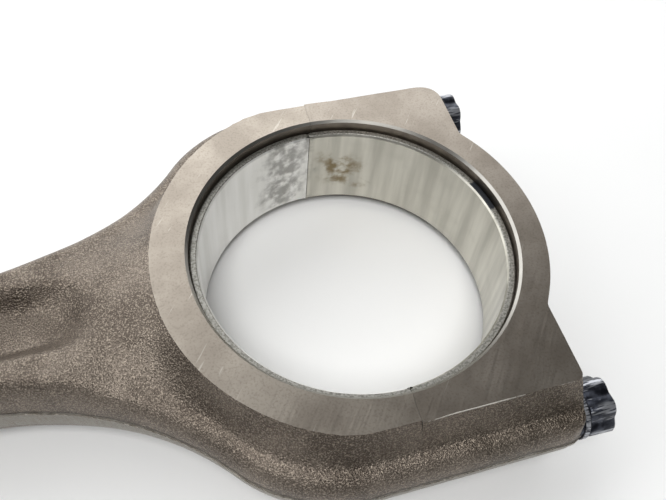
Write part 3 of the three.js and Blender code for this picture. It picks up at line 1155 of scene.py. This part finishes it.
        # where the eye narrows to its tip, the wall takes no more than a share of the width
        reach = np.minimum(section.wall_run / cosine, 0.85 * outline)
        foot = np.maximum(0.1 * outline, outline - section.proud)
        wall = foot[:, None] - insets[None, :] / section.wall_run * np.minimum(reach, 0.9 * foot)[:, None]
        shares = np.linspace(1.0, 0.0, self.field_columns + 1)[1:]
        inner = wall[:, -1:] * shares[None, :]
        half_columns = np.concatenate([wall, inner], 1)
        across = np.concatenate([half_columns, -half_columns[:, -2::-1]], 1)
        along = np.repeat(x[:, None], across.shape[1], 1)
        top, bottom = (self.height(along, across, side) for side in (1, -1))
        rings = []
        for i, place in enumerate(x):
            rings.append(self.ring(place, outline[i], across[i], top[i], bottom[i]))
        return np.array(rings)

    def ring(self, x: float, outline: float, across: Array, top: Array, bottom: Array) -> Array:
        """One closed ring, with its ridge of trimmed flash.

        Args:
            x: Position along the rod.
            outline: Half width at the flash.
            across: Positions across the rod, from +Y to -Y.
            top: Upper half heights.
            bottom: Lower half heights.

        Returns:
            Points of the ring.
        """
        section = self.section
        ragged = section.trimmed(np.array([x, x + self.far_side]), seed=2.0)
        ridge = [max(abs(across[0]), outline - section.proud * (1.0 - share)) for share in ragged]
        lift = section.flash_level(ragged)
        floor = np.where(across > 0, lift[0], lift[1])
        upper = list(zip(across, np.maximum(top, floor)))
        lower = list(zip(across, -np.maximum(bottom, floor)))
        right = [(ridge[0], -lift[0]), (ridge[0], lift[0])]
        left = [(-ridge[1], lift[1]), (-ridge[1], -lift[1])]
        loop = np.array(right + upper + left + lower[::-1])
        return np.concatenate([np.full((len(loop), 1), x), loop], 1)


@dataclass
class CapForging:
    """Forged cap: two bolt bosses joined to a crown round the crankpin."""

    section: Section = field(default_factory=Section)
    side_y: float = 37.2
    boss_end: float = 27.0
    crown_r: float = 32.8
    draft: float = math.radians(6.5)
    blend: float = 2.2
    corner_r: float = 3.0
    far_corner: float = 4.5  # blend between the two straight edges of the ground face at +Y
    near_corner: float = 1.6  # and at -Y
    inner_r: float = 25.6
    rays: int = 230
    columns: int = 46
    crowding: float = 1.7  # above 1, the points of a ray crowd towards the wall
    ridge_share: float = 0.98  # share of the flash's reach that its highest points take
    past: float = math.radians(91.6)  # the rays start a little behind the fracture plane

    def height(self, x: Array, y: Array) -> Array:
        """Half height of the cap inside its flash.

        Args:
            x: Positions along the rod.
            y: Positions across it.

        Returns:
            Half heights, below 0 outside the outline.
        """
        section = self.section
        side_y = self.side_y - section.proud
        end_x = self.boss_end - section.proud
        inside = side_y - np.abs(y)
        reach = side_y - section.face_y - section.wall_run
        face_end = end_x - section.half * math.tan(self.draft)
        corner = np.where(y > 0.0, self.far_corner, self.near_corner)
        outside = smooth_max(np.abs(y) - section.face_y, x - face_end, corner)
        climb = np.maximum(0.0, 1.0 - outside / reach) ** section.land_power
        slope = section.barrel + (section.half - section.barrel) * climb
        full = np.minimum(section.half + section.stock, slope)
        side = np.where(inside > 0.0, section.wall_share(inside) * full, inside)
        along = np.maximum(0.0, np.abs(y) - side_y + self.corner_r)
        past = np.maximum(0.0, x - end_x + self.corner_r)
        square = (along == 0.0) | (past == 0.0)
        rounded = np.where(square, end_x - x, self.corner_r - np.hypot(along, past))
        end = rounded / math.tan(self.draft)
        boss = smooth_min(side, end, self.blend)
        crown = (self.crown_r - section.proud - np.hypot(x, y)) / math.tan(self.draft)
        return smooth_max(boss, np.minimum(crown, section.half + section.stock), self.blend)

    def outline(self, angles: Array) -> Array:
        """Radius of the wall's foot along rays from the crankpin axis.

        Args:
            angles: Directions of the rays.

        Returns:
            Radii.
        """
        low = np.full(angles.shape, self.inner_r)
        high = np.full(angles.shape, math.hypot(self.boss_end, self.side_y) + 1.0)
        for _ in range(40):
            middle = (low + high) / 2.0
            inside = self.height(middle * np.cos(angles), middle * np.sin(angles)) > 0.0
            low = np.where(inside, middle, low)
            high = np.where(inside, high, middle)
        return low

    def rings(self) -> Array:
        """Carry the section round the cap, one ring for each ray.

        Returns:
            Rings for a loft.
        """
        section = self.section
        angles = np.linspace(-self.past, self.past, self.rays)
        foot = self.outline(angles)
        shares = (np.arange(1, self.columns + 1) / self.columns) ** self.crowding
        radii = foot[:, None] - (foot[:, None] - self.inner_r) * shares[None, :]
        x = radii * np.cos(angles)[:, None]
        y = radii * np.sin(angles)[:, None]
        plain = self.height(x, y)
        share = np.clip(plain / section.barrel, 0.0, 1.0)
        ragged = section.trimmed(foot * angles, seed=9.0)
        lift = section.flash_level(ragged)
        halves = []
        for side in (1, -1):
            skin = plain + share * section.worn(x, y, seed=5.0 + 7.0 * side)
            halves.append(np.stack([x, y, side * np.maximum(skin, lift[:, None])], -1))
        ridge = foot + section.proud * ragged * self.ridge_share
        edges = []
        for radius, side in ((ridge, -1), (ridge, 1), (foot, 1), (foot, -1)):
            edges.append(np.stack([radius * np.cos(angles), radius * np.sin(angles), side * lift], -1))
        under, over, upper_foot, lower_foot = (edge[:, None] for edge in edges)
        return np.concatenate([under, over, upper_foot, halves[0], halves[1][:, ::-1], lower_foot], 1)


@dataclass
class MachineShop:
    """Tools that bring the two forgings to size."""

    datum: Datum
    section: Section = field(default_factory=Section)
    span: float = 200.0
    past: float = 1.0
    chamfer: float = 0.42
    housing_r: float = 26.5
    round_steps: int = 288
    parting_gap: float = 0.015
    crack_height: float = 0.16
    crack_grain: float = 3.2
    crack_fine: float = 0.9  # grain of the finer roughness, half as high
    crack_steps: tuple[int, int] = (240, 48)
    bolt_y: float = 32.0
    tap_r: float = 4.02
    tap_root_r: float = 4.5
    tap_depth: float = 11.0
    drill_point: float = 2.4
    drill_tip_r: float = 0.2
    clearance_r: float = 4.25
    seat_x: float = 26.3
    seat_r: float = 4.9
    seat_bevel: float = 0.2
    hole_steps: int = 64

    def side_faces(self, surface: Surface) -> bpy.types.Object:
        """Everything between the two ground faces.

        Args:
            surface: Finish of the faces.

        Returns:
            The tool.
        """
        corners = np.array([(-1, -1), (1, -1), (1, 1), (-1, 1)], float) * self.span
        levels = (-self.section.half, self.section.half)
        rings = [np.concatenate([corners, np.full((4, 1), level)], 1) for level in levels]
        return self.datum.loft("side_faces", np.array(rings), [surface])

    def bore(self, radius: float, centre_x: float, wall: Surface) -> bpy.types.Object:
        """Through bore with a chamfer at both mouths.

        Args:
            radius: Radius of the bore.
            centre_x: Position of its axis.
            wall: Finish of the bore.

        Returns:
            The tool.
        """
        end = self.section.half + self.past
        land = self.section.half - self.chamfer
        mouth = radius + self.chamfer + self.past
        profile = [(mouth, -end), (radius, -land), (radius, land), (mouth, end)]
        rings = rings_about_z(profile, self.round_steps, centre_x)
        return self.datum.loft("bore", rings, [Surface.TURNED_CHAMFER_STEEL, wall], np.array([0, 1, 0]))

    def beyond_crack(self, side: int) -> bpy.types.Object:
        """Block on one side of the rough fracture plane.

        Args:
            side: 1 for the cap's side, -1 for the rod's.

        Returns:
            The tool, whose rough face fits the other block's.
        """
        y = np.linspace(-self.span / 4.0, self.span / 4.0, self.crack_steps[0])
        z = np.linspace(-self.section.half - self.past, self.section.half + self.past, self.crack_steps[1])
        grid_y, grid_z = np.meshgrid(y, z, indexing="ij")
        points = np.stack([np.zeros_like(grid_y), grid_y, grid_z], -1)
        rough = unevenness(points, self.crack_grain, seed=17.0)
        rough += 0.5 * unevenness(points, self.crack_fine, seed=23.0)
        rough = self.crack_height * rough + side * self.parting_gap
        near = np.stack([rough, grid_y, grid_z], -1)
        back = np.stack([np.full_like(grid_y, side * self.span), grid_y, grid_z], -1)
        rings = np.concatenate([near, back[:, ::-1]], 1)
        return self.datum.loft("crack", rings, [Surface.FRACTURE_SPLIT_STEEL])

    def tapped_hole(self, side: int) -> bpy.types.Object:
        """Blind threaded hole from the fracture plane into the rod.

        Args:
            side: 1 for the bolt on +Y, -1 for the one on -Y.

        Returns:
            The tool.
        """
        thread = ScrewThread()
        stations = thread.stations(-self.tap_depth, self.past)
        radii = thread.radii(stations, self.tap_r, self.tap_root_r)
        tip = np.full((1, thread.points), self.drill_tip_r)
        stations = np.concatenate([[-self.tap_depth - self.drill_point], stations])
        rings = rings_along_x(stations, np.concatenate([tip, radii]), side * self.bolt_y)
        return self.datum.loft("tapped_hole", rings, [Surface.DRILLED_STEEL])

    def clearance_hole(self, side: int) -> bpy.types.Object:
        """Plain hole through the cap with the spot-faced seat at its outer end.

        Args:
            side: 1 for the bolt on +Y, -1 for the one on -Y.

        Returns:
            The tool.
        """
        bevel = self.seat_bevel
        profile = [
            (-self.past, self.clearance_r),
            (self.seat_x - 1.5 * bevel, self.clearance_r),
            (self.seat_x, self.clearance_r + bevel),
            (self.seat_x, self.seat_r),
            (self.seat_x + 3.0 * self.past, self.seat_r),
        ]
        stations, radii = np.array(profile).T
        rings = rings_along_x(stations, np.repeat(radii[:, None], self.hole_steps, 1), side * self.bolt_y)
        return self.datum.loft("clearance_hole", rings, [Surface.DRILLED_STEEL])

    def finish(
        self,
        blank: bpy.types.Object,
        ground: Surface,
        cutters: list[bpy.types.Object],
        side: int,
    ) -> bpy.types.Object:
        """Machine a forging: grind it, bore and drill it, and crack it at the fracture plane.

        Args:
            blank: The forged piece.
            ground: Finish of its side faces.
            cutters: Tools that cut its holes.
            side: 1 for the cap's side of the crack, -1 for the rod's.

        Returns:
            The finished piece.
        """
        machine(blank, self.side_faces(ground), Work.KEEP)
        for cutter in [self.bore(self.housing_r, 0.0, Surface.FINE_BORED_STEEL), *cutters]:
            machine(blank, cutter, Work.CUT)
        machine(blank, self.beyond_crack(side), Work.KEEP)
        shade(blank)
        return blank

    def finish_rod(self, forging: RodForging) -> bpy.types.Object:
        """Machine the rod.

        Args:
            forging: The forged rod.

        Returns:
            The finished piece.
        """
        blank = self.datum.loft("rod_forging_skin", forging.rings(), [Surface.SHOT_BLASTED_ROD_STEEL])
        small_bore = self.bore(forging.bush_r, -forging.centres, Surface.FINE_BORED_STEEL)
        cutters = [small_bore, self.tapped_hole(-1), self.tapped_hole(1)]
        return self.finish(blank, Surface.STONE_GROUND_ROD_STEEL, cutters, -1)

    def finish_cap(self, forging: CapForging) -> bpy.types.Object:
        """Machine the cap.

        Args:
            forging: The forged cap.

        Returns:
            The finished piece.
        """
        blank = self.datum.loft("big_end_cap_skin", forging.rings(), [Surface.SHOT_BLASTED_CAP_STEEL])
        cutters = [self.clearance_hole(-1), self.clearance_hole(1)]
        return self.finish(blank, Surface.STONE_GROUND_CAP_STEEL, cutters, 1)


# ---------------------------------------------------------------- bearing, bush and bolts


@dataclass
class BearingShell:
    """One half of the plain bearing: steel back and soft lining."""

    datum: Datum
    side: int  # 1 for the cap's half, -1 for the rod's
    bore_r: float = 25.0
    bond_r: float = 25.3
    bond_gap: float = 0.02
    outer_r: float = 26.45
    half_width: float = 8.8
    edge: float = 0.3  # chamfer round both rims
    inner_edge: float = 0.1  # the same on the bonded side
    rim_drop: float = 0.12  # how far the lining's rim lies below the back's
    throat: float = 0.04  # depth and run of the lining's eased mouth
    throat_run: float = 0.38
    creep: float = 1.35  # degrees that the pair has turned in its housing
    gap: float = 0.13  # degrees left free at each end
    relief: float = 0.2  # how far both sides are eased in at the joint ends
    ends: tuple[float, ...] = (0.0, 0.5, 1.1, 1.8)  # degrees from a joint end to its close stations
    steps: int = 150

    def sweep(self, name: str, profile: Profile, surface: Surface) -> bpy.types.Object:
        """Carry a cross-section round the half circle.

        Args:
            name: Name of the piece.
            profile: Radius and height of the section's corners.
            surface: Finish of the piece.

        Returns:
            The piece.
        """
        middle = 0.0 if self.side > 0 else 180.0
        reach = 90.0 - self.gap
        fine = np.array(self.ends)
        even = np.linspace(fine[-1], 2.0 * reach - fine[-1], self.steps)
        turn = np.concatenate([fine[:-1], even, 2.0 * reach - fine[:-1][::-1]])
        angles = np.radians(middle + self.creep - reach + turn)
        near_end = np.clip(1.0 - np.minimum(turn, 2.0 * reach - turn) / fine[-2], 0.0, 1.0)
        section = np.array(profile)
        centre = (section[:, 0].max() + section[:, 0].min()) / 2.0
        inwards = self.relief * np.sign(centre - section[:, 0])
        eased = section[:, 0][None, :] + near_end[:, None] * inwards[None, :]
        x = eased * np.cos(angles)[:, None]
        y = eased * np.sin(angles)[:, None]
        z = np.repeat(section[:, 1][None, :], len(angles), 0)
        piece = self.datum.loft(name, np.stack([x, y, z], -1), [surface])
        shade(piece)
        return piece

    def back(self, name: str) -> bpy.types.Object:
        """Steel back of the shell.

        Args:
            name: Name of the piece.

        Returns:
            The piece.
        """
        end, edge, burr = self.half_width, self.edge, self.inner_edge
        inner, outer = self.bond_r, self.outer_r
        half = [(inner, end - burr), (inner + burr, end), (outer - edge, end), (outer, end - edge)]
        surface = Surface.PAINT_MARKED_STRIP_STEEL if self.side > 0 else Surface.ROLLED_STRIP_STEEL
        return self.sweep(name, mirrored(half), surface)

    def lining(self, name: str) -> bpy.types.Object:
        """Soft lining bonded inside the back.

        Args:
            name: Name of the piece.

        Returns:
            The piece.
        """
        top = self.half_width - self.rim_drop
        rim = top - self.edge
        outer = self.bond_r - self.bond_gap
        half = [(outer, top), (self.bore_r + self.throat, rim), (self.bore_r, rim - self.throat_run)]
        # the rod's half wears the copy with painted light, the cap's half the copy with painted shade
        surface = Surface.BORED_ALUMINIUM_TIN_CAP if self.side > 0 else Surface.BORED_ALUMINIUM_TIN_ROD
        return self.sweep(name, mirrored(half), surface)


@dataclass
class SmallEndBush:
    """Bronze bush pressed into the small end."""

    datum: Datum
    centre_x: float = -144.0
    bore_r: float = 11.0
    outer_r: float = 12.5
    half_width: float = 10.5
    bevel: float = 0.4
    steps: int = 160

    def build(self, name: str) -> bpy.types.Object:
        """Make the bush.

        Args:
            name: Name of the piece.

        Returns:
            The piece.
        """
        end, bevel = self.half_width, self.bevel
        half = [
            (self.bore_r, end - bevel),
            (self.bore_r + bevel, end),
            (self.outer_r - bevel / 2.0, end),
            (self.outer_r, end - bevel / 2.0),
        ]
        rings = rings_about_z(mirrored(half), self.steps, self.centre_x)
        piece = self.datum.loft(name, rings, [Surface.REAMED_BRONZE], looped=True)
        shade(piece)
        return piece


@dataclass
class CapBolt:
    """Waisted bolt with a six-lobed head on a thin collar."""

    datum: Datum  # on the bolt's own axis
    head: float = 26.35  # underside of the head
    length: float = 36.4
    thread_r: float = 3.95
    root_r: float = 3.3
    waist_r: float = 3.4
    thread_length: float = 12.0
    waist_end: float = 26.0
    collar_r: float = 4.6
    collar_height: float = 1.1
    lobe_r: float = 4.68
    valley_r: float = 4.0
    lobes: int = 6
    star_height: float = 4.4
    corner: float = 0.4  # bevel round the star's outer end
    edge: float = 0.12  # other broken edges
    dish: float = 0.45  # depth of the hollow in the star's end
    sharp: float = 40.0  # degrees beyond which an edge is drawn sharp
    thread: ScrewThread = field(default_factory=ScrewThread)

    def star(self, scale: float) -> Array:
        """Radii round the lobed outline at a share of its full size."""
        wave = 0.5 + 0.5 * np.cos(self.lobes * circle(self.thread.points))
        return scale * (self.valley_r + (self.lobe_r - self.valley_r) * wave**0.7)

    def build(self, name: str) -> bpy.types.Object:
        """Make the bolt as one turned and rolled body.

        Args:
            name: Name of the piece.

        Returns:
            The piece.
        """
        tip = self.head - self.length
        wound = self.thread.stations(tip + 0.5, tip + self.thread_length)
        body = [(tip, self.root_r - 0.35), *zip(wound, self.thread.radii(wound, self.root_r, self.thread_r))]
        body += self.turned(tip) + self.lobed()
        stations = np.array([station for station, _ in body])
        radii = np.array([np.broadcast_to(radius, self.thread.points) for _, radius in body])
        piece = self.datum.loft(name, rings_along_x(stations, radii), [Surface.HOT_BLACKENED_ALLOY_STEEL])
        shade(piece, self.sharp)
        return piece

    def turned(self, tip: float) -> Profile:
        """Waist, fitted neck and collar.

        Args:
            tip: Station of the bolt's inner end.

        Returns:
            Stations, each with its radius.
        """
        top = self.head + self.collar_height
        return [
            (tip + self.thread_length + 0.4, self.waist_r),
            (tip + self.waist_end - 1.0, self.waist_r),
            (tip + self.waist_end, self.thread_r),
            (self.head - 0.5, self.thread_r),
            (self.head, self.thread_r + 0.25),
            (self.head, self.collar_r - self.edge),
            (self.head + self.edge, self.collar_r),
            (top - 0.35, self.collar_r),
            (top - 0.05, self.collar_r - 0.3),
        ]

    def lobed(self) -> list[tuple[float, Array]]:
        """Star and the hollow in its end.

        Returns:
            Stations, each with the radii round it.
        """
        top = self.head + self.collar_height
        crown = top + self.star_height
        sides = ((top, 0.95), (top + 0.3, 0.975), (crown - self.corner, 1.0), (crown - self.edge, 0.965))
        end = ((crown, 0.9), (crown, 0.55), (crown - self.dish, 0.42))
        held = [(station, np.minimum(self.star(scale), self.collar_r + 0.08)) for station, scale in sides]
        return held + [(station, self.star(scale)) for station, scale in end]


# ---------------------------------------------------------------- stage


@dataclass
class Studio:
    """Pale board, soft lamps and the camera."""

    datum: Datum
    board_size: float = 4.0  # metres
    lens: float = 40.955
    azimuth: float = math.radians(-21.953)
    elevation: float = math.radians(55.194)
    roll: float = math.radians(-6.687)
    camera_from_face: tuple[float, float, float] = (-29.52, -64.20, 98.49)  # from the bore's upper mouth
    clip_start: float = 0.005  # metres
    board_drop: float = 0.0002  # metres below the object, so that the two never share a plane
    lamp_place: tuple[float, float, float] = (-0.1, -0.38, 0.93)  # metres
    lamp_size: float = 0.45  # metres
    lamp_power: float = 7.0  # watts
    daylight: str = "F4F5F6"
    window: tuple[float, float, float] = (-0.4, 1.0, -0.38)
    window_low: float = -0.06  # facing at which the window's light begins
    window_high: float = 0.32
    dim: float = 0.11
    bright: float = 2.3

    def board(self) -> None:
        """Lay the board that the object stands on."""
        half = self.board_size / 2.0
        corners = [(x * half, y * half, -self.board_drop) for x, y in ((-1, -1), (1, -1), (1, 1), (-1, 1))]
        mesh = bpy.data.meshes.new("board")
        mesh.from_pydata(corners, [], [(0, 1, 2, 3)])
        mesh.materials.append(self.datum.dress(Surface.PAINTED_WHITE_BOARD))
        put("board", mesh)

    def lamp(self) -> None:
        """Hang one soft square lamp overhead that faces the big end."""
        light = bpy.data.lights.new("overhead_lamp", "AREA")
        light.shape = "SQUARE"
        light.size = self.lamp_size
        light.energy = self.lamp_power
        holder = put("overhead_lamp", light)
        holder.location = self.lamp_place
        towards = self.datum.origin - Vector(self.lamp_place)
        holder.rotation_euler = towards.to_track_quat("-Z", "Y").to_euler()

    def sky(self) -> None:
        """Fill the room with pale light that comes mostly from a wide window on the far side."""
        world = bpy.data.worlds.new("room")
        world.use_nodes = True
        tree = world.node_tree
        tree.nodes.clear()
        direction = add_node(tree, "TexCoord", out="Generated")
        inputs = {0: direction, 1: self.window}
        facing = add_node(tree, "VectorMath", {"operation": "DOT_PRODUCT"}, inputs, out="Value")
        settings = {"interpolation_type": "SMOOTHSTEP"}
        inputs = {0: facing, 1: self.window_low, 2: self.window_high, 3: self.dim, 4: self.bright}
        strength = add_node(tree, "MapRange", settings, inputs)
        inputs = {"Color": linear_colour(self.daylight), "Strength": strength}
        light = add_node(tree, "Background", {}, inputs)
        add_node(tree, "OutputWorld", {}, {"Surface": light})
        bpy.context.scene.world = world

    def camera(self) -> None:
        """Stand the camera at its viewing angle."""
        data = bpy.data.cameras.new("camera")
        data.lens = self.lens
        data.clip_start = self.clip_start
        out = math.cos(self.elevation)
        back = Vector((math.sin(self.azimuth) * out, -math.cos(self.azimuth) * out, math.sin(self.elevation)))
        level = (-back).cross(Vector((0.0, 0.0, 1.0))).normalized()
        down = (-back).cross(level)
        right = math.cos(self.roll) * level + math.sin(self.roll) * down
        up = back.cross(right)
        turn = Matrix((right, up, back)).transposed().to_4x4()
        mouth = self.datum.origin + Vector((0.0, 0.0, Section.half)) * MM
        camera = put("camera", data)
        camera.matrix_world = Matrix.Translation(mouth + Vector(self.camera_from_face) * MM) @ turn
        bpy.context.scene.camera = camera

    def build(self) -> None:
        """Set up the whole stage."""
        self.board()
        self.sky()
        self.lamp()
        self.camera()
        bpy.context.scene.view_settings.view_transform = "Standard"


# ---------------------------------------------------------------- assembly


@dataclass(frozen=True)
class Role:
    """What a piece stands for in the CAD model."""

    node: str
    body: str
    slot: str


def install(piece: bpy.types.Object, role: Role) -> None:
    """Hang a piece on its body in place of its CAD node.

    Args:
        piece: Finished piece.
        role: What it stands for.
    """
    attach(piece, role.body)
    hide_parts(role.node)
    LOG.info("%s: %d faces on body %s", piece.name, len(piece.data.polygons), role.body)


def find_datum() -> Datum:
    """Read the crankpin axis from the CAD shells, and mid-thickness from the rod.

    Returns:
        The datum of the whole scene.
    """
    low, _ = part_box("cap_shell_back")
    _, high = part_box("rod_shell_back")
    foot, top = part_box("rod_forging")
    return Datum(Vector(((low.x + high.x) / 2.0, 0.0, (foot.z + top.z) / 2.0)))


def main() -> None:
    """Build every piece, hang it on its body and set the stage."""
    logging.basicConfig(level=logging.INFO, format="%(name)s: %(message)s")
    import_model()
    datum = find_datum()
    shop = MachineShop(datum)
    install(shop.finish_rod(RodForging()), Role("rod_forging", "rod", "forged_steel"))
    install(shop.finish_cap(CapForging()), Role("big_end_cap", "cap", "cap_steel"))
    for half, side in (("rod", -1), ("cap", 1)):
        shell = BearingShell(datum, side)
        body = f"{half}_shell"
        install(shell.back(f"{body}_steel"), Role(f"{body}_back", body, "shell_steel"))
        install(shell.lining(f"{body}_alloy"), Role(f"{body}_lining", body, "bearing_alloy"))
    for hand, side in (("left", 1), ("right", -1)):
        bolt = CapBolt(Datum(datum.origin + Vector((0.0, side * shop.bolt_y, 0.0)) * MM))
        role = Role(f"cap_bolt_{hand}", f"bolt_{hand}", "blackened_steel")
        install(bolt.build(f"star_bolt_{hand}"), role)
    install(SmallEndBush(datum).build("bronze_bush"), Role("small_end_bush", "rod", "bronze"))
    Studio(datum).build()


if __name__ == "__main__":
    main()
